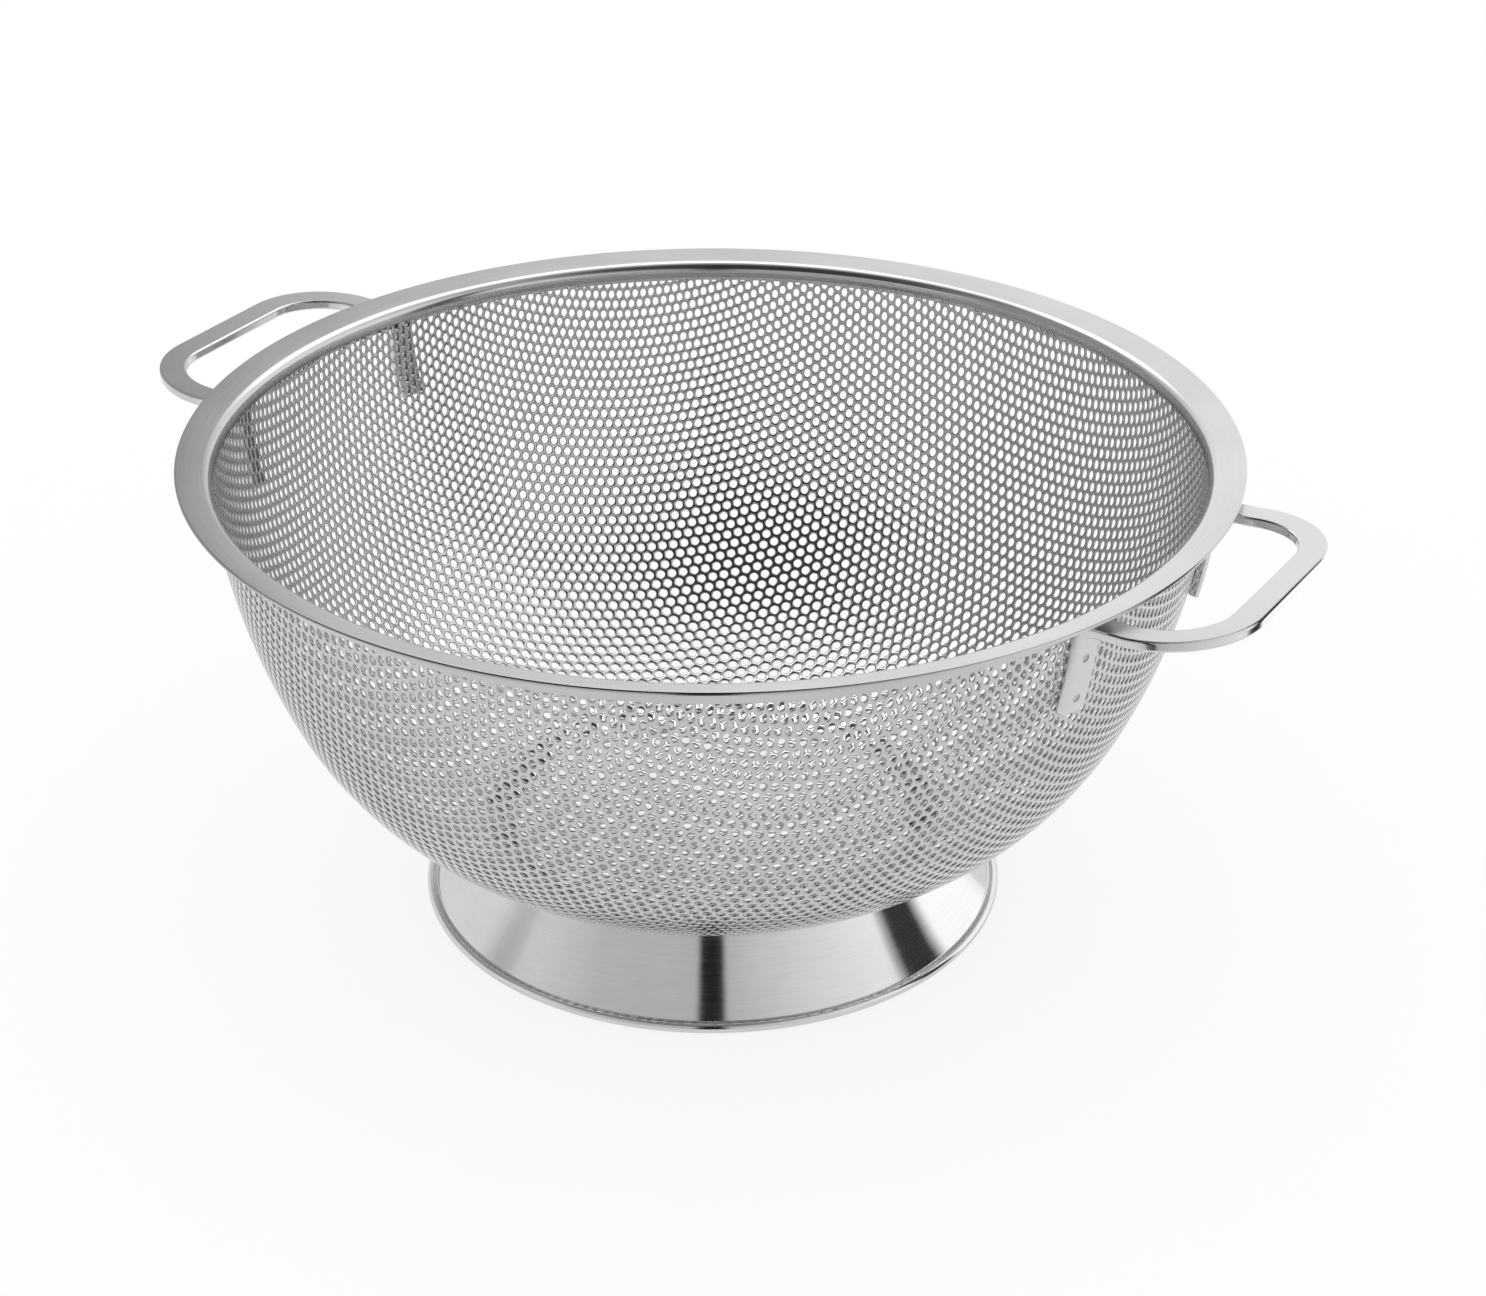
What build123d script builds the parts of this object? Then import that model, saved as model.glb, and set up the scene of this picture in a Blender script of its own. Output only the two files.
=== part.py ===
from build123d import *
from math import acos, asin, atan2, ceil, cos, degrees, hypot, radians, sin, sqrt, tan
import os

# Footed kitchen colander: a perforated bowl with a folded rim band, a spun base ring
# and two flat bar handles, all held by spot welds and by the fold of the band.
# Lengths are in millimetres and angles in degrees. The origin is the centre of the circle
# that the base ring stands on, Z is up and the handles lie along X.
# A slope is the angle between a sheet's section and the horizontal.

# Bowl: three tangent arcs of its outer face, from the centre of the floor to the rim
bowl_sheet = 0.6
crown_radius = 162.0
crown_slope = 29.6
knuckle_radius = 92.3
knuckle_slope = 65.2
wall_radius = 178.0
wall_slope = 84.6
wall_straight = 4.75

# Rim: the bowl's edge turns outward, and a band is folded round it
rim_bend_radius = 1.2
rim_slope = 12.0
rim_flange = 6.6
band_sheet = 0.5
band_inner_leg = 1.6
band_outer_leg = 2.9
seam_gap = 0.05

# Perforation: a hexagonal grid of round holes, bent onto the bowl
hole_radius = 3.9
hole_pitch = 14.2
rim_margin = 1.2

# Base ring: a lip under the bowl, a bend, a hollow flare and a curled bead at the bottom
ring_sheet = 0.6
lip_gap = 0.05
lip_start_slope = 20.4
lip_end_slope = 23.0
neck_radius = 1.6
flare_top_slope = -57.7
flare_radius = 150.0
flare_turn = 9.0
groove_radius = 0.5
groove_turn = 88.0
bead_radius = 1.4
bead_turn = -268.0
land_depth = 0.08

# Handles: a flat bar bent in plan to a loop, its two ends turned down into tabs.
# The arms spread apart outward, and each handle sits a little off X, toward -Y.
handle_reach = 167.1
handle_skew = 0.95
bar_width = 7.5
bar_thickness = 2.8
grip_corner_radius = 24.3
grip_half_width = 43.9
arm_spread = 3.4
tab_gap = 0.05
tab_length = 20.4
tab_bend_radius = 6.5
band_clearance = 0.25
arm_stub = 4.0
slab_lap = 0.5
tilt_start = 140.5
tilt_radius = 18.0
loop_tilt = 4.4
bar_edge_radius = 0.7

# Spot welds: round plugs that join two sheets, each a little short of the outer face
tab_weld_radius = 1.2
tab_weld_sink = 0.2
tab_weld_heights = (4.8, 16.4)
ring_weld_radius = 1.2
ring_weld_sink = 0.1
ring_weld_count = 8
weld_clearance = 0.02

# One overrun for every cutter and every blank that is cut to shape
overrun = 5.0


def at(point, angle, distance):
    """The point at a distance from another, in the direction of an angle."""
    return (point[0] + distance * cos(radians(angle)), point[1] + distance * sin(radians(angle)))


def side_of(turn):
    """1 for a bend to the left and -1 for a bend to the right."""
    return 1 if turn > 0 else -1


def length_of(move):
    """The length of one move: ("run", length, 0) or ("bend", radius, turn)."""
    kind, size, turn = move
    return size if kind == "run" else size * radians(abs(turn))


def follow(start, heading, moves, distance=None):
    """Walk along a section and give the point and the heading that are reached."""
    point = start
    for move in moves:
        kind, size, turn = move
        share = 1 if distance is None else min(1, distance / length_of(move))
        if kind == "run":
            point = at(point, heading, size * share)
        else:
            centre = at(point, heading + 90 * side_of(turn), size)
            heading += turn * share
            point = at(centre, heading - 90 * side_of(turn), size)
        if distance is not None:
            distance -= length_of(move) * share
    return point, heading


def draw_side(start, heading, moves, shift):
    """Draw one face of a sheet, shifted to the left of its path, and give its two ends."""
    point = first = at(start, heading + 90, shift)
    for kind, size, turn in moves:
        if kind == "run":
            end = at(point, heading, size)
            Line(point, end)
        else:
            side = side_of(turn)
            radius = size - side * shift
            centre = at(point, heading + 90 * side, radius)
            CenterArc(centre, radius, heading - 90 * side, turn)
            heading += turn
            end = at(centre, heading - 90 * side, radius)
        point = end
    return first, point


def draw_sheet(start, heading, moves, thickness):
    """Draw the closed section of a bent sheet that lies to the left of its path."""
    near_start, near_end = draw_side(start, heading, moves, 0)
    far_start, far_end = draw_side(start, heading, moves, thickness)
    Line(near_start, far_start)
    Line(near_end, far_end)


# The base ring is worked out from a bowl whose floor is at zero, and then everything is lifted
lip_radius = crown_radius + lip_gap
lip_moves = [
    ("bend", lip_radius, lip_end_slope - lip_start_slope),
    ("bend", neck_radius, flare_top_slope - lip_end_slope),
    ("bend", flare_radius, flare_turn),
    ("bend", groove_radius, groove_turn),
]
unlifted_lip_start = at((0, crown_radius), lip_start_slope - 90, lip_radius)
bead_start, bead_heading = follow(unlifted_lip_start, lip_start_slope, lip_moves)
bead_centre = at(bead_start, bead_heading - 90, bead_radius)
bowl_lift = bead_radius - land_depth - bead_centre[1]
floor_centre = (0, bowl_lift)
crown_centre = (0, bowl_lift + crown_radius)
lip_start = (unlifted_lip_start[0], unlifted_lip_start[1] + bowl_lift)

# Outer face of the bowl's sheet, up to where the edge turns outward
wall_moves = [
    ("bend", crown_radius, crown_slope),
    ("bend", knuckle_radius, knuckle_slope - crown_slope),
    ("bend", wall_radius, wall_slope - knuckle_slope),
    ("run", wall_straight, 0),
]
rim_turn = rim_slope - wall_slope
rim_moves = [("bend", rim_bend_radius, rim_turn), ("run", rim_flange, 0)]
wall_top, _ = follow(floor_centre, 0, wall_moves)
wall_length = sum(length_of(move) for move in wall_moves)


def on_wall(distance, outward=0):
    """A point on the bowl's outer face, by its distance from the floor's centre along it."""
    point, heading = follow(floor_centre, 0, wall_moves, distance)
    return at(point, heading - 90, outward), heading


def normal_location(point, slope, azimuth):
    """A place on the bowl whose Z axis points out of the bowl, square to its face."""
    across = (cos(radians(azimuth)), sin(radians(azimuth)))
    origin = (point[0] * across[0], point[0] * across[1], point[1])
    tilt = radians(slope)
    outward = (sin(tilt) * across[0], sin(tilt) * across[1], -cos(tilt))
    return Plane(origin=origin, z_dir=outward).location


# Perforated bowl
hole_reach = wall_length - band_outer_leg - rim_margin - hole_radius
row_step = hole_pitch * sqrt(3) / 2
hole_rows = ceil(hole_reach / row_step)
hole_places = []
for row in range(-hole_rows, hole_rows + 1):
    columns = ceil(hole_reach / hole_pitch) + hole_rows
    for column in range(-columns, columns + 1):
        across = hole_pitch * (column + row / 2)
        along = row_step * row
        distance = hypot(across, along)
        if distance <= hole_reach:
            point, slope = on_wall(distance)
            hole_places.append(normal_location(point, slope, degrees(atan2(along, across))))

with BuildPart() as perforated_bowl:
    with BuildSketch(Plane.XZ):
        with BuildLine():
            draw_sheet(floor_centre, 0, wall_moves + rim_moves, bowl_sheet)
        make_face()
    revolve(axis=Axis.Z)
    with Locations(*hole_places):
        Cylinder(hole_radius, 2 * (bowl_sheet + overrun), mode=Mode.SUBTRACT)
perforated_bowl.part.label = "perforated_bowl"

# Rim band: up the bowl's inner face, out along the rim, round its edge and back to the wall
band_offset = bowl_sheet + seam_gap
band_inner_radius = rim_bend_radius + band_offset
band_outer_radius = rim_bend_radius - seam_gap
band_hem_radius = (bowl_sheet + 2 * seam_gap) / 2
band_moves = [
    ("run", band_inner_leg, 0),
    ("bend", band_inner_radius, rim_turn),
    ("run", rim_flange + seam_gap, 0),
    ("bend", band_hem_radius, -180),
    ("run", rim_flange + seam_gap, 0),
    ("bend", band_outer_radius, -rim_turn),
    ("run", band_outer_leg, 0),
]
band_start = at(at(wall_top, wall_slope + 90, band_offset), wall_slope, -band_inner_leg)

with BuildPart() as rim_band:
    with BuildSketch(Plane.XZ):
        with BuildLine():
            draw_sheet(band_start, wall_slope, band_moves, band_sheet)
        make_face()
    revolve(axis=Axis.Z)
rim_band.part.label = "rim_band"

# Base ring: the lip hugs the bowl, and the bead stands on a narrow flat land
ring_moves = lip_moves + [("bend", bead_radius, bead_turn)]
ring_weld_slope = (lip_start_slope + lip_end_slope) / 2
ring_weld_places = []
for number in range(ring_weld_count):
    azimuth = 360 * (number + 1 / 2) / ring_weld_count
    point = at(crown_centre, ring_weld_slope - 90, crown_radius + weld_clearance)
    ring_weld_places.append(normal_location(point, ring_weld_slope, azimuth))
ring_weld_length = lip_gap + ring_sheet - ring_weld_sink - weld_clearance

with BuildPart() as base_ring:
    with BuildSketch(Plane.XZ):
        with BuildLine():
            draw_sheet(lip_start, lip_start_slope, ring_moves, -ring_sheet)
        make_face()
    revolve(axis=Axis.Z)
    split(bisect_by=Plane.XY, keep=Keep.TOP)
    with Locations(*ring_weld_places):
        Cylinder(ring_weld_radius, 2 * (lip_gap + ring_sheet), mode=Mode.SUBTRACT)
base_ring.part.label = "base_ring"

with BuildPart() as base_ring_spot_welds:
    with Locations(*ring_weld_places):
        Cylinder(
            ring_weld_radius,
            ring_weld_length,
            align=(Align.CENTER, Align.CENTER, Align.MIN),
        )
base_ring_spot_welds.part.label = "base_ring_spot_welds"

# Handles: the tab follows the wall up to a bend under the rim, and the loop runs on from there.
# The bend starts low enough for the bar to pass the band's outer leg.
leg_step = seam_gap + band_sheet + band_clearance - tab_gap
leg_drop = tab_bend_radius * sin(acos(1 - leg_step / tab_bend_radius))
tab_top = wall_length - band_outer_leg - leg_drop
tab_bottom = tab_top - tab_length
tab_start, tab_slope = on_wall(tab_bottom, tab_gap)
_, bend_slope = on_wall(tab_top)
tab_moves = [
    ("bend", wall_radius + tab_gap, bend_slope - tab_slope),
    ("bend", tab_bend_radius, -bend_slope),
    ("run", arm_stub, 0),
]
stub_end, _ = follow(tab_start, tab_slope, tab_moves)
arm_top = stub_end[1]
stub_start = stub_end[0] - arm_stub
bar_across = bar_width / cos(radians(arm_spread))
spread_rate = tan(radians(arm_spread))
loop_inner_end = tab_start[0] * cos(asin(grip_half_width / tab_start[0])) - bar_width
handle_height = arm_top + overrun


def arm_edge(x, inward=0):
    """Half the distance between the arms' outer edges, or between lines inward of them."""
    return grip_half_width - (handle_reach - x) * spread_rate - inward


def arm_azimuth(radius):
    """The angle off the handle's axis at which an arm's centre line meets a circle."""
    start = arm_edge(0, bar_across / 2)
    square = 1 + spread_rate**2
    x = (sqrt(square * radius**2 - start**2) - start * spread_rate) / square
    return degrees(atan2(start + spread_rate * x, x))


def draw_loop(reach, inward, corner_radius):
    """Draw one edge of the loop, from one arm's end round the grip to the other's."""
    inner_half = arm_edge(loop_inner_end, inward)
    outer_half = arm_edge(reach, inward)
    FilletPolyline(
        (loop_inner_end, -inner_half),
        (reach, -outer_half),
        (reach, outer_half),
        (loop_inner_end, inner_half),
        radius=corner_radius,
    )


tab_weld_places = []
for height in tab_weld_heights:
    point, slope = on_wall(tab_bottom + height, weld_clearance)
    for side in (-1, 1):
        azimuth = side * arm_azimuth(point[0]) - handle_skew
        tab_weld_places.append(normal_location(point, slope, azimuth))
tab_weld_length = tab_gap + bar_thickness - tab_weld_sink - weld_clearance

handle_plan = Plane.XY.rotated((0, 0, -handle_skew))
handle_side = Plane.XZ.rotated((0, 0, -handle_skew))
slab_start = sqrt((stub_start + slab_lap) ** 2 - arm_edge(stub_start, bar_across) ** 2)
slab_moves = [
    ("run", tilt_start - slab_start, 0),
    ("bend", tilt_radius, loop_tilt),
    ("run", handle_reach - tilt_start + overrun, 0),
]

with BuildPart() as handle_right:
    with BuildSketch(Plane.XZ):
        with BuildLine():
            draw_sheet(tab_start, tab_slope, tab_moves, -bar_thickness)
        make_face()
    revolve(axis=Axis.Z)
    with BuildSketch(handle_side):
        with BuildLine():
            draw_sheet((slab_start, arm_top), 0, slab_moves, -bar_thickness)
        make_face()
    extrude(amount=grip_half_width + overrun, both=True)
    with BuildSketch(handle_plan):
        with BuildLine():
            draw_loop(handle_reach, 0, grip_corner_radius)
            draw_loop(handle_reach - bar_width, bar_across, grip_corner_radius - bar_width)
            for side in (-1, 1):
                Line(
                    (loop_inner_end, side * arm_edge(loop_inner_end)),
                    (loop_inner_end, side * arm_edge(loop_inner_end, bar_across)),
                )
        make_face()
    extrude(amount=handle_height, mode=Mode.INTERSECT)
    fillet(handle_right.edges(), bar_edge_radius)
    with Locations(*tab_weld_places):
        Cylinder(tab_weld_radius, 2 * (tab_gap + bar_thickness + overrun), mode=Mode.SUBTRACT)
handle_right.part.label = "handle_right"

with BuildPart() as handle_right_spot_welds:
    with Locations(*tab_weld_places):
        Cylinder(
            tab_weld_radius,
            tab_weld_length,
            align=(Align.CENTER, Align.CENTER, Align.MIN),
        )
handle_right_spot_welds.part.label = "handle_right_spot_welds"

with BuildPart() as handle_left:
    mirror(handle_right.part, about=Plane.YZ)
handle_left.part.label = "handle_left"

with BuildPart() as handle_left_spot_welds:
    mirror(handle_right_spot_welds.part, about=Plane.YZ)
handle_left_spot_welds.part.label = "handle_left_spot_welds"

os.makedirs("parts", exist_ok=True)
pieces = [
    perforated_bowl,
    rim_band,
    base_ring,
    base_ring_spot_welds,
    handle_right,
    handle_right_spot_welds,
    handle_left,
    handle_left_spot_welds,
]
for piece in pieces:
    export_step(piece.part, f"parts/{piece.part.label}.step", write_pcurves=False)
print("floor", bowl_lift, "arm top", arm_top, "holes", len(hole_places))
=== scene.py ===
from math import cos, pi, radians, sin, tan

import bpy
import numpy as np
from mathutils import Matrix, Vector


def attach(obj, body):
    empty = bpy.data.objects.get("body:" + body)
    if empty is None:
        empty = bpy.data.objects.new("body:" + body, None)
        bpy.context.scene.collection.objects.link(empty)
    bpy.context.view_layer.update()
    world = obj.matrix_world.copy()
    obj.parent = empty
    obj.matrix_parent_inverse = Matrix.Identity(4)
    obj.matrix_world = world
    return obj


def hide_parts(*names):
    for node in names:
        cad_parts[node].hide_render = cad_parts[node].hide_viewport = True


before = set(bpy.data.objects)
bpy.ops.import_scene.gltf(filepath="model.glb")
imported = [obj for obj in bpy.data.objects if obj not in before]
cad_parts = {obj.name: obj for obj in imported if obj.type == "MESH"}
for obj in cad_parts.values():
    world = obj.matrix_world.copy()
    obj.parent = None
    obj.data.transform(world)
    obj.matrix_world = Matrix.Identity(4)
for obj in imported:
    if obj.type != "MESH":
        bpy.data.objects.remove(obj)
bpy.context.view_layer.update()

# Lengths below are in millimetres and angles in degrees, unless a comment says otherwise
MM = 0.001

# Camera, in a frame turned so that it looks along +Y; the handles' axis is turned from it
HANDLE_TURN = 30.42
CAMERA_POINT = (8.578, -743.58, 470.71)
CAMERA_DOWN = 28.1535
CAMERA_ROLL = -0.1096
LENS = 73.28
SENSOR = 36.0
# Metres
CAMERA_CLIP = (0.01, 100.0)

# The bowl's outer face: (radius, slope at its end) of each arc, then a straight run
BOWL_FLOOR = 9.093
BOWL_SHEET = 0.6
BOWL_ARCS = ((162.0, 29.6), (92.3, 65.2), (178.0, 84.6))
BOWL_STRAIGHT = 4.75
ARC_STEPS = 400
STRAIGHT_STEPS = 20

# The flat blank that the bowl was drawn from, and how the drawing moved its holes.
# Each order of RING_MOVES has the cosine and sine shares outward, then round the bowl.
PITCH = 4.1252
GRID_TURN = 11.119
GRID_CENTRE = (-0.326, 0.407)
GRID_REACH = 68
BLANK_REACH = 198.0
RADIAL_MOVE = (0.2558, -0.2626, 0.0825)
RING_MOVES = {
    1: (0.0030, 0.0089, -0.0189, 0.0074),
    2: (-0.0119, -0.0147, 0.0103, 0.0012),
    3: (0.0111, -0.0077, -0.0082, -0.0057),
    4: (-0.0032, -0.0036, -0.0003, 0.0072),
    6: (-0.0022, 0.0027, 0.0004, 0.0023),
}

# The search for a blank point's place on the bowl: rounds, first guess, gains and limit
SEARCH_ROUNDS = 40
SEARCH_START = 0.93
SEARCH_GAIN_OUT = 0.8
SEARCH_GAIN_ROUND = 0.9
SEARCH_END = 230

# Holes: their share of the pitch, and where the pattern ends along the section
HOLE_SHARE = 0.71
HOLE_SIDES = 12
PATTERN_END = 205.4
PATTERN_MARGIN = 2.6
HOLE_MARGIN = 0.15
SECTORS = 9
# Each hole's rings, from the outer face to the inner: (added to the radius, depth)
HOLE_RINGS = ((0.14, 0.0), (0.05, 0.04), (0.0, 0.18), (0.0, 0.55), (0.06, 0.60))
# A cell's corners and edge middles in turn, in sixths of the grid's two steps
CELL_EDGE = (
    (3, 0), (2, 2), (0, 3), (-2, 4), (-3, 3), (-4, 2),
    (-3, 0), (-2, -2), (0, -3), (2, -4), (3, -3), (4, -2),
)
SIXTHS = 6
KEY_STEP = 100000

# The folded band with the photo's thin hem and wide inner bend, in the solid band's place.
# Its start and ends are (radius, height) points.
WALL_SLOPE = 84.6
RIM_SLOPE = 12.0
RIM_START = (132.99, 131.475)
RIM_INNER_LEG = 1.88
RIM_INNER_BEND = 2.9
RIM_FACE = 6.67
RIM_HEM = 0.525
RIM_UNDER_FACE = 6.0
RIM_OUTER_BEND = 1.2
RIM_OUTER_LEG_END = (134.56, 130.02)
RIM_SLOT = ((134.06, 130.07), (134.29, 132.5), (133.60, 132.55), (133.49, 131.43))
RIM_EDGE = 0.06
RIM_BEND_STEPS = 14
RIM_OUTER_SHARES = np.linspace(0.12, 1, 8)
RIM_STEPS = 540


# ---- bowl ----
def bowl_table():
    """Distance along the outer face, radius, height and slope of the bowl's section."""
    rows = [(0.0, 0.0, BOWL_FLOOR, 0.0)]
    for radius, end in BOWL_ARCS:
        length, r, z, start = rows[-1]
        for share in np.linspace(0, 1, ARC_STEPS)[1:]:
            slope = start + (end - start) * share
            rows.append(
                (
                    length + radius * radians(slope - start),
                    r + radius * (sin(radians(slope)) - sin(radians(start))),
                    z + radius * (cos(radians(start)) - cos(radians(slope))),
                    slope,
                )
            )
    length, r, z, slope = rows[-1]
    along, up = cos(radians(slope)), sin(radians(slope))
    for run in np.linspace(0, BOWL_STRAIGHT, STRAIGHT_STEPS)[1:]:
        rows.append((length + run, r + run * along, z + run * up, slope))
    return np.array(rows).T


BOWL = bowl_table()


def on_bowl(s, phi, depth):
    """Points at a distance along the section, an azimuth (radians) and a depth below the face."""
    phi = phi + radians(HANDLE_TURN)
    r = np.interp(s, BOWL[0], BOWL[1])
    z = np.interp(s, BOWL[0], BOWL[2])
    slope = np.radians(np.interp(s, BOWL[0], BOWL[3]))
    r = r - depth * np.sin(slope)
    z = z + depth * np.cos(slope)
    return np.stack([r * np.cos(phi), r * np.sin(phi), z], axis=-1)


def to_blank(s, phi):
    """Where a point of the bowl was on the flat blank, as radius and azimuth in radians."""
    t = s / BLANK_REACH
    radius = s * (1 + sum(move * t ** (2 * k + 2) for k, move in enumerate(RADIAL_MOVE)))
    out, round_ = 0.0, 0.0
    for order, (a, b, c, d) in RING_MOVES.items():
        out = out + a * np.cos(order * phi) + b * np.sin(order * phi)
        round_ = round_ + c * np.cos(order * phi) + d * np.sin(order * phi)
    return radius * (1 + t * t * out), phi + t * t * round_


def from_blank(x, y):
    """The bowl's distance along its section and azimuth for points of the blank."""
    radius, angle = np.hypot(x, y), np.arctan2(y, x)
    s, phi = radius * SEARCH_START, angle.copy()
    for _ in range(SEARCH_ROUNDS):
        r, a = to_blank(s, phi)
        s = np.clip(s + SEARCH_GAIN_OUT * (radius - r), 0, SEARCH_END)
        phi = phi + SEARCH_GAIN_ROUND * ((angle - a + pi) % (2 * pi) - pi)
    return s, phi


def bridge(loops, whole):
    """Quads between each loop of points and the next, for the cells that have a hole."""
    faces = []
    for near, far in zip(loops[:-1], loops[1:]):
        near, far = near[whole], far[whole]
        corners = [near, far, np.roll(far, -1, 1), np.roll(near, -1, 1)]
        faces.append(np.stack(corners, axis=-1).reshape(-1, 4))
    return np.concatenate(faces)


def bowl_sector(cell_i, cell_j, centre, a, b):
    """Points, quads and closed cells of the sheet, for some cells of the hexagonal grid."""
    edge_i, edge_j = np.array(CELL_EDGE).T
    keys = (SIXTHS * cell_i[:, None] + edge_i).astype(np.int64) * KEY_STEP
    keys = keys + SIXTHS * cell_j[:, None] + edge_j
    unique, place = np.unique(keys, return_inverse=True)
    place = place.reshape(len(cell_i), -1)
    i = np.floor_divide(unique + KEY_STEP // 2, KEY_STEP)
    j = unique - i * KEY_STEP
    flat = np.outer(i / SIXTHS - GRID_CENTRE[0], a) + np.outer(j / SIXTHS - GRID_CENTRE[1], b)
    s, phi = from_blank(*flat.T)
    s = np.minimum(s, PATTERN_END)
    vertices = [on_bowl(s, phi, 0.0), on_bowl(s, phi, BOWL_SHEET)]
    inner = place + len(unique)

    count = len(cell_i)
    first = 2 * len(unique)
    angles = radians(GRID_TURN) + np.arange(HOLE_SIDES) * (2 * pi / HOLE_SIDES)
    reach = np.zeros((count, HOLE_SIDES))
    rings = []
    for add, depth in HOLE_RINGS:
        size = HOLE_SHARE * PITCH / 2 + add
        x = centre[:, 0][:, None] + size * np.cos(angles)
        y = centre[:, 1][:, None] + size * np.sin(angles)
        s, phi = from_blank(x.ravel(), y.ravel())
        reach = np.maximum(reach, s.reshape(count, -1))
        vertices.append(on_bowl(np.minimum(s, PATTERN_END), phi, depth))
        rings.append(first + np.arange(count * HOLE_SIDES).reshape(count, -1))
        first += count * HOLE_SIDES

    # cells whose hole would pass the pattern's end stay closed on both faces
    whole = reach.max(1) < PATTERN_END - HOLE_MARGIN
    quads = bridge([place, *rings, inner], whole)
    closed = np.concatenate([place[~whole][:, ::-1], inner[~whole]])
    return np.concatenate(vertices), quads, closed


def bowl_pieces():
    """The perforated sheet, cut into sectors."""
    turn = radians(GRID_TURN)
    a = PITCH * np.array([cos(turn), sin(turn)])
    b = PITCH * np.array([cos(turn + pi / 3), sin(turn + pi / 3)])
    steps = np.arange(-GRID_REACH, GRID_REACH + 1)
    i, j = (g.ravel() for g in np.meshgrid(steps, steps))
    centre = np.outer(i - GRID_CENTRE[0], a) + np.outer(j - GRID_CENTRE[1], b)
    s, phi = from_blank(*centre.T)
    keep = s < PATTERN_END + PATTERN_MARGIN
    i, j, centre, phi = i[keep], j[keep], centre[keep], phi[keep]
    sector = ((phi % (2 * pi)) / (2 * pi) * SECTORS).astype(int) % SECTORS
    for number in range(SECTORS):
        of = np.nonzero(sector == number)[0]
        yield bowl_sector(i[of], j[of], centre[of], a, b)


def make_mesh(name, vertices, quads, polygons=None):
    """A smooth mesh object from point and face arrays, without points that nothing uses."""
    sizes = [np.full(len(quads), 4)]
    corners = [quads.ravel()]
    if polygons is not None and len(polygons):
        sizes.append(np.full(len(polygons), polygons.shape[1]))
        corners.append(polygons.ravel())
    sizes, corners = np.concatenate(sizes), np.concatenate(corners)
    used, corners = np.unique(corners, return_inverse=True)
    vertices = vertices[used] * MM
    mesh = bpy.data.meshes.new(name)
    mesh.vertices.add(len(vertices))
    mesh.vertices.foreach_set("co", vertices.astype(np.float32).ravel())
    mesh.loops.add(len(corners))
    mesh.loops.foreach_set("vertex_index", corners.astype(np.int32))
    mesh.polygons.add(len(sizes))
    starts = np.concatenate([[0], np.cumsum(sizes)[:-1]])
    mesh.polygons.foreach_set("loop_start", starts.astype(np.int32))
    mesh.polygons.foreach_set("loop_total", sizes.astype(np.int32))
    mesh.polygons.foreach_set("use_smooth", np.ones(len(sizes), bool))
    mesh.update(calc_edges=True)
    mesh.validate()
    piece = bpy.data.objects.new(name, mesh)
    bpy.context.scene.collection.objects.link(piece)
    return piece


# ---- rim band ----
def rim_section():
    """The band's closed section as (radius, height) points: leg, bend, face, hem, and back."""
    r, z = RIM_START
    heading = WALL_SLOPE
    points = [(r, z + RIM_EDGE)]
    for kind, size, turn in (
        ("run", RIM_INNER_LEG, 0),
        ("bend", RIM_INNER_BEND, RIM_SLOPE - WALL_SLOPE),
        ("run", RIM_FACE, 0),
        ("bend", RIM_HEM, -180),
        ("run", RIM_UNDER_FACE, 0),
    ):
        start_r, start_z, before = r, z, radians(heading)
        if kind == "run":
            r, z = start_r + size * cos(before), start_z + size * sin(before)
            points.append((r, z))
        else:
            for step in range(1, RIM_BEND_STEPS + 1):
                after = radians(heading + turn * step / RIM_BEND_STEPS)
                r = start_r + size * (sin(before) - sin(after))
                z = start_z - size * (cos(before) - cos(after))
                points.append((r, z))
        heading += turn
    leg_r, leg_z = RIM_OUTER_LEG_END
    bend_z = z - RIM_OUTER_BEND
    bend_r = leg_r + (bend_z - leg_z) / tan(radians(WALL_SLOPE))
    for share in RIM_OUTER_SHARES:
        a = share * pi / 2
        points.append((bend_r + (r - bend_r) * (1 - sin(a)), bend_z + (z - bend_z) * cos(a)))
    points += [(leg_r, leg_z + RIM_EDGE), (leg_r - RIM_EDGE, leg_z)]
    points += [*RIM_SLOT, (RIM_START[0] + RIM_EDGE, RIM_START[1])]
    return np.array(points)


def rim_mesh():
    """Points and quads of the band: its section turned round the bowl's axis."""
    section = rim_section()
    angles = np.arange(RIM_STEPS) * 2 * pi / RIM_STEPS
    r, z = section.T
    columns = [np.outer(np.cos(angles), r), np.outer(np.sin(angles), r), np.tile(z, (RIM_STEPS, 1))]
    vertices = np.stack(columns, axis=-1).reshape(-1, 3)
    near = np.arange(RIM_STEPS * len(section)).reshape(RIM_STEPS, len(section))
    far = np.roll(near, -1, 0)
    quads = np.stack([near, far, np.roll(far, -1, 1), np.roll(near, -1, 1)], axis=-1)
    return vertices, quads.reshape(-1, 4)[:, ::-1]


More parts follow.
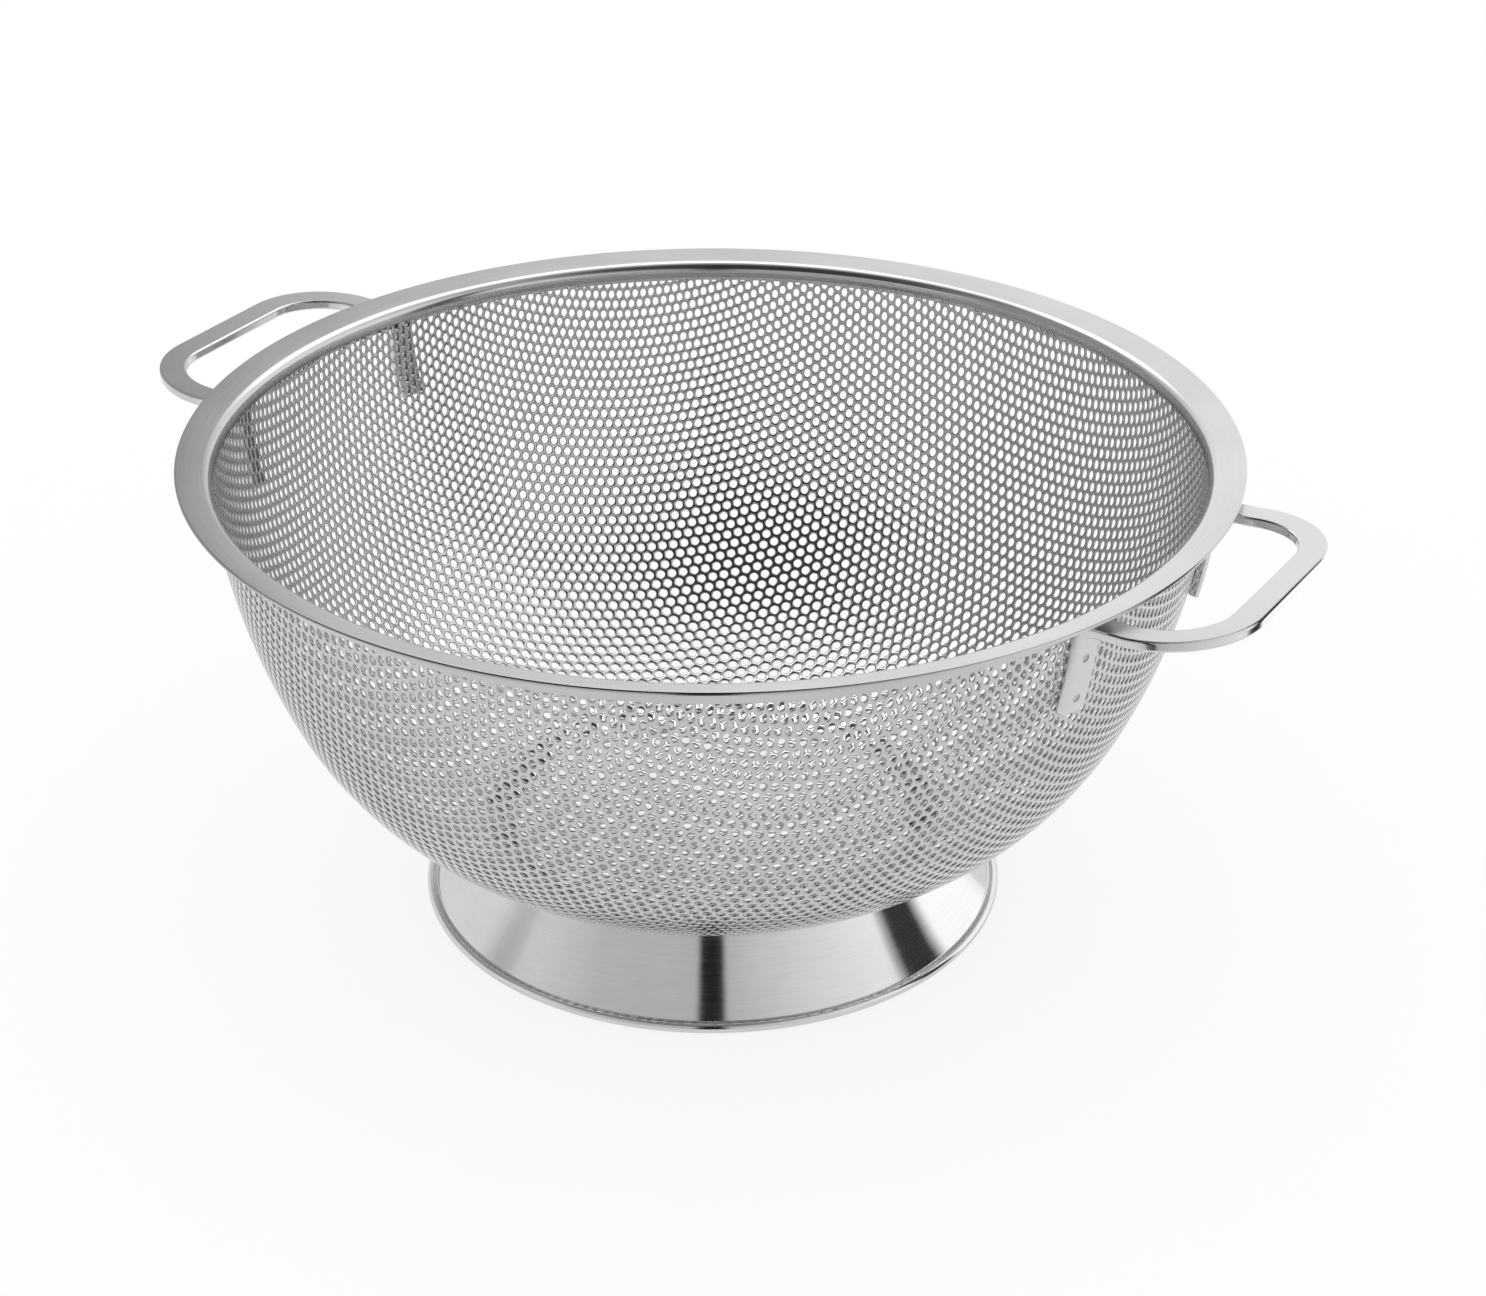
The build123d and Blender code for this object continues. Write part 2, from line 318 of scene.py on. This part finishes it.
# ---- materials ----
class Nodes:
    """A small helper that adds and links shader nodes of one material or world."""

    def __init__(self, tree):
        self.tree = tree
        tree.nodes.clear()

    def add(self, kind, values=None, **settings):
        node = self.tree.nodes.new(kind)
        for key, value in settings.items():
            setattr(node, key, value)
        for key, value in (values or {}).items():
            if isinstance(value, bpy.types.NodeSocket):
                self.tree.links.new(value, node.inputs[key])
            else:
                node.inputs[key].default_value = value
        return node

    def math(self, operation, a, b=0.0):
        return self.add("ShaderNodeMath", {0: a, 1: b}, operation=operation).outputs[0]

    def blend(self, a, b, share):
        """The sum of a and b with shares of share and one less share."""
        return self.math("ADD", self.math("MULTIPLY", a, share), self.math("MULTIPLY", b, 1 - share))

    def flat_radius(self, x, y):
        squares = self.math("ADD", self.math("MULTIPLY", x, x), self.math("MULTIPLY", y, y))
        return self.math("SQRT", squares)

    def ramp(self, value, low, high, new_low, new_high):
        ends = {"From Min": low, "From Max": high, "To Min": new_low, "To Max": new_high}
        node = self.add("ShaderNodeMapRange", {"Value": value, **ends}, clamp=True)
        return node.outputs[0]

    def noise(self, vector, scale, detail):
        values = {"Vector": vector, "Scale": scale, "Detail": detail, "Roughness": NOISE_ROUGHNESS}
        return self.add("ShaderNodeTexNoise", values).outputs["Fac"]


# Noise sizes (per metre) and how far into detail each goes
NOISE_ROUGHNESS = 0.55
ROUND_BRUSH = (2600.0, 6.0)
EVEN_BRUSH = (2400.0, 2.0)
STAINS = (28.0, 4.0)
FINE_GRAIN = (900.0, 3.0)
BUMP_DEPTH = 0.0002
# Faces are flat above the second value of their upward share, and sides below the first
FLAT_FACE = (0.80, 0.97)


def steel(name, dark, light, rough, rough_vary, bump, turned=False, rough_side=None):
    """Stainless steel with brushing, faint stains and uneven polish."""
    material = bpy.data.materials.new(name)
    material.use_nodes = True
    n = Nodes(material.node_tree)
    place = n.add("ShaderNodeTexCoord").outputs["Object"]
    if turned:
        x, y, z = n.add("ShaderNodeSeparateXYZ", {0: place}).outputs
        across, along = ROUND_BRUSH
        spun = {
            0: n.math("MULTIPLY", n.flat_radius(x, y), across),
            1: n.math("MULTIPLY", n.math("ARCTAN2", y, x), along),
            2: n.math("MULTIPLY", z, across),
        }
        brush = n.noise(n.add("ShaderNodeCombineXYZ", spun).outputs[0], 1.0, 3.0)
    else:
        brush = n.noise(place, *EVEN_BRUSH)
    stain = n.noise(place, *STAINS)
    fine = n.noise(place, *FINE_GRAIN)
    tone = n.ramp(n.blend(stain, brush, 0.6), 0.35, 0.65, 0.0, 1.0)
    ends = {"A": (*dark, 1), "B": (*light, 1)}
    colour = n.add("ShaderNodeMix", {"Factor": tone, **ends}, data_type="RGBA")
    polish = (rough - rough_vary, rough + rough_vary)
    roughness = n.ramp(n.blend(brush, stain, 0.5), 0.3, 0.7, *polish)
    if rough_side is not None:
        normal = n.add("ShaderNodeNewGeometry").outputs["Normal"]
        up = n.add("ShaderNodeSeparateXYZ", {0: normal}).outputs[2]
        flat = n.ramp(n.math("ABSOLUTE", up), *FLAT_FACE, 0.0, 1.0)
        side = n.ramp(stain, 0.3, 0.7, rough_side - 0.02, rough_side + 0.03)
        of_face = n.math("MULTIPLY", roughness, flat)
        of_side = n.math("MULTIPLY", side, n.math("SUBTRACT", 1.0, flat))
        roughness = n.math("ADD", of_face, of_side)
    relief = {"Strength": bump, "Distance": BUMP_DEPTH, "Height": n.blend(brush, fine, 0.6)}
    normal = n.add("ShaderNodeBump", relief).outputs[0]
    values = {
        "Base Color": colour.outputs["Result"],
        "Roughness": roughness,
        "Normal": normal,
        "Metallic": 1.0,
    }
    shader = n.add("ShaderNodeBsdfPrincipled", values)
    n.add("ShaderNodeOutputMaterial", {"Surface": shader.outputs[0]})
    return material


def dress(piece, material):
    piece.data.materials.clear()
    piece.data.materials.append(material)


# Dark and light tone, roughness and how much it varies, and bump
bowl_steel = steel("bowl_sheet_steel", (0.50, 0.50, 0.505), (0.58, 0.58, 0.58), 0.12, 0.03, 0.03)
rim_steel = steel(
    "rim_band_steel", (0.50, 0.50, 0.505), (0.57, 0.57, 0.57), 0.17, 0.03, 0.02, turned=True
)
base_steel = steel(
    "base_ring_steel", (0.59, 0.59, 0.595), (0.67, 0.67, 0.67), 0.09, 0.03, 0.01, turned=True
)
bar_steel = steel(
    "handle_bar_steel", (0.56, 0.56, 0.565), (0.64, 0.64, 0.64), 0.32, 0.05, 0.05, rough_side=0.12
)
weld_steel = steel("spot_weld_steel", (0.44, 0.44, 0.44), (0.54, 0.54, 0.54), 0.34, 0.06, 0.06)

for number, (vertices, quads, closed) in enumerate(bowl_pieces()):
    piece = make_mesh(f"bowl_sheet_{number + 1}", vertices, quads, closed)
    dress(piece, bowl_steel)
    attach(piece, "root")
    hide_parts("perforated_bowl")

rim = make_mesh("rim_sheet", *rim_mesh())
dress(rim, rim_steel)
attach(rim, "root")
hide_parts("rim_band")

CAD_DRESS = {
    "base_ring": base_steel,
    "base_ring_spot_welds": weld_steel,
    "handle_right": bar_steel,
    "handle_right_spot_welds": weld_steel,
    "handle_left": bar_steel,
    "handle_left_spot_welds": weld_steel,
}
for node, material in CAD_DRESS.items():
    dress(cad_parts[node], material)


# ---- stage ----
# Metres
FLOOR_HALF = 12
FLOOR_COLOUR = (1.0, 1.0, 1.0)
FLOOR_VEIL = 0.78

# The tent's radius in metres, its facets, and the brightness of its top
TENT_RADIUS = 0.32
TENT_ROWS = 24
TENT_COLUMNS = 96
TENT_TOP = 0.06
# Azimuth, half width and blur, low and high elevation and blur, brightness
TENT_PATCHES = (
    (-100, 84, 6, -20, 43, 9, 0.66),
    (180, 34, 24, -20, 39, 9, 0.88),
    (180, 40, 24, -20, 14, 8, 1.15),
    (130, 60, 10, 14, 66, 16, 0.42),
    (150, 34, 16, -20, 22, 12, 0.98),
    (50, 62, 60, -20, 76, 14, 0.80),
    (25, 75, 70, -20, 62, 16, 1.25),
    (100, 22, 12, 50, 64, 6, 2.40),
    (16, 16, 6, -20, 20, 8, 1.50),
    (-8, 9, 6, -20, 62, 10, 0.05),
    (-90, 5, 2, -20, 90, 8, 0.02),
)


def floor_white(name, colour, veil):
    """White paper. To the camera and the metal a share of it glows, which softens its shadows."""
    material = bpy.data.materials.new(name)
    material.use_nodes = True
    n = Nodes(material.node_tree)
    paper = n.add("ShaderNodeBsdfDiffuse", {"Color": (*colour, 1)})
    glow = n.add("ShaderNodeEmission", {"Color": (1, 1, 1, 1), "Strength": 1.0})
    path = n.add("ShaderNodeLightPath").outputs
    mirrored = n.math("MAXIMUM", path["Is Glossy Ray"], path["Is Transmission Ray"])
    share = n.math("MULTIPLY", n.math("MAXIMUM", path["Is Camera Ray"], mirrored), veil)
    mixed = n.add("ShaderNodeMixShader", {0: share, 1: paper.outputs[0], 2: glow.outputs[0]})
    n.add("ShaderNodeOutputMaterial", {"Surface": mixed.outputs[0]})
    return material


def tent_level(n, place, base, patches):
    """The brightness of a point of the tent: soft-edged patches by azimuth and elevation."""
    x, y, z = n.add("ShaderNodeSeparateXYZ", {0: place}).outputs
    azimuth = n.math("DEGREES", n.math("ARCTAN2", y, x))
    elevation = n.math("DEGREES", n.math("ARCTAN2", z, n.flat_radius(x, y)))
    level = base
    for centre, half, blur, low, high, edge, value in patches:
        away = {0: n.math("SUBTRACT", azimuth, centre), 1: 180.0, 2: -180.0}
        away = n.math("ABSOLUTE", n.add("ShaderNodeMath", away, operation="WRAP").outputs[0])
        across = n.ramp(away, half - blur / 2, half + blur / 2, 1.0, 0.0)
        above = n.ramp(elevation, low - edge / 2, low + edge / 2, 0.0, 1.0)
        below = n.ramp(elevation, high - edge / 2, high + edge / 2, 1.0, 0.0)
        mask = n.math("MULTIPLY", across, n.math("MULTIPLY", above, below))
        mix = n.add("ShaderNodeMix", {"Factor": mask, "A": level, "B": value}, data_type="FLOAT")
        level = mix.outputs[0]
    return level


def light_tent(radius, base, patches):
    """A small studio tent round the object. Only the metal's reflections see it."""
    mesh = bpy.data.meshes.new("light_tent")
    points, faces = [], []
    for row in range(TENT_ROWS + 1):
        e = radians(90 * row / TENT_ROWS)
        for column in range(TENT_COLUMNS):
            a = 2 * pi * column / TENT_COLUMNS
            points.append((radius * cos(e) * cos(a), radius * cos(e) * sin(a), radius * sin(e)))
    for row in range(TENT_ROWS):
        first = row * TENT_COLUMNS
        for column in range(TENT_COLUMNS):
            near, far = first + column, first + (column + 1) % TENT_COLUMNS
            faces.append((near, far, far + TENT_COLUMNS, near + TENT_COLUMNS))
    mesh.from_pydata(points, [], faces)
    tent = bpy.data.objects.new("light_tent", mesh)
    bpy.context.scene.collection.objects.link(tent)
    tent.rotation_euler = (0, 0, radians(HANDLE_TURN))
    material = bpy.data.materials.new("light_tent")
    material.use_nodes = True
    n = Nodes(material.node_tree)
    level = tent_level(n, n.add("ShaderNodeTexCoord").outputs["Object"], base, patches)
    glow = n.add("ShaderNodeEmission", {"Color": (1, 1, 1, 1), "Strength": level})
    n.add("ShaderNodeOutputMaterial", {"Surface": glow.outputs[0]})
    material.cycles.emission_sampling = "NONE"
    mesh.materials.append(material)
    tent.visible_camera = False
    tent.visible_diffuse = False
    tent.visible_shadow = False


floor_mesh = bpy.data.meshes.new("floor")
floor_corners = [(x * FLOOR_HALF, y * FLOOR_HALF, 0) for x, y in ((-1, -1), (1, -1), (1, 1), (-1, 1))]
floor_mesh.from_pydata(floor_corners, [], [(0, 1, 2, 3)])
floor = bpy.data.objects.new("floor", floor_mesh)
bpy.context.scene.collection.objects.link(floor)
floor_mesh.materials.append(floor_white("floor_white", FLOOR_COLOUR, FLOOR_VEIL))

light_tent(TENT_RADIUS, TENT_TOP, TENT_PATCHES)

world = bpy.data.worlds.new("studio")
bpy.context.scene.world = world
world.use_nodes = True
n = Nodes(world.node_tree)
sky = n.add("ShaderNodeBackground", {"Color": (1, 1, 1, 1), "Strength": 1.0})
n.add("ShaderNodeOutputWorld", {"Surface": sky.outputs[0]})
world.cycles_visibility.glossy = False

bpy.context.scene.view_settings.view_transform = "Standard"

# ---- camera ----
camera_data = bpy.data.cameras.new("camera")
camera_data.sensor_width = SENSOR
camera_data.lens = LENS
camera_data.clip_start, camera_data.clip_end = CAMERA_CLIP
camera = bpy.data.objects.new("camera", camera_data)
bpy.context.scene.collection.objects.link(camera)
down, roll = radians(CAMERA_DOWN), radians(CAMERA_ROLL)
level_right, level_up = Vector((1, 0, 0)), Vector((0, sin(down), cos(down)))
look = Vector((0, cos(down), -sin(down)))
right = level_right * cos(roll) - level_up * sin(roll)
up = level_right * sin(roll) + level_up * cos(roll)
turn = Matrix.Rotation(radians(HANDLE_TURN), 3, "Z")
axes = Matrix((turn @ right, turn @ up, -(turn @ look))).transposed()
camera.matrix_world = Matrix.Translation(turn @ Vector(CAMERA_POINT) * MM) @ axes.to_4x4()
bpy.context.scene.camera = camera

bpy.context.view_layer.update()
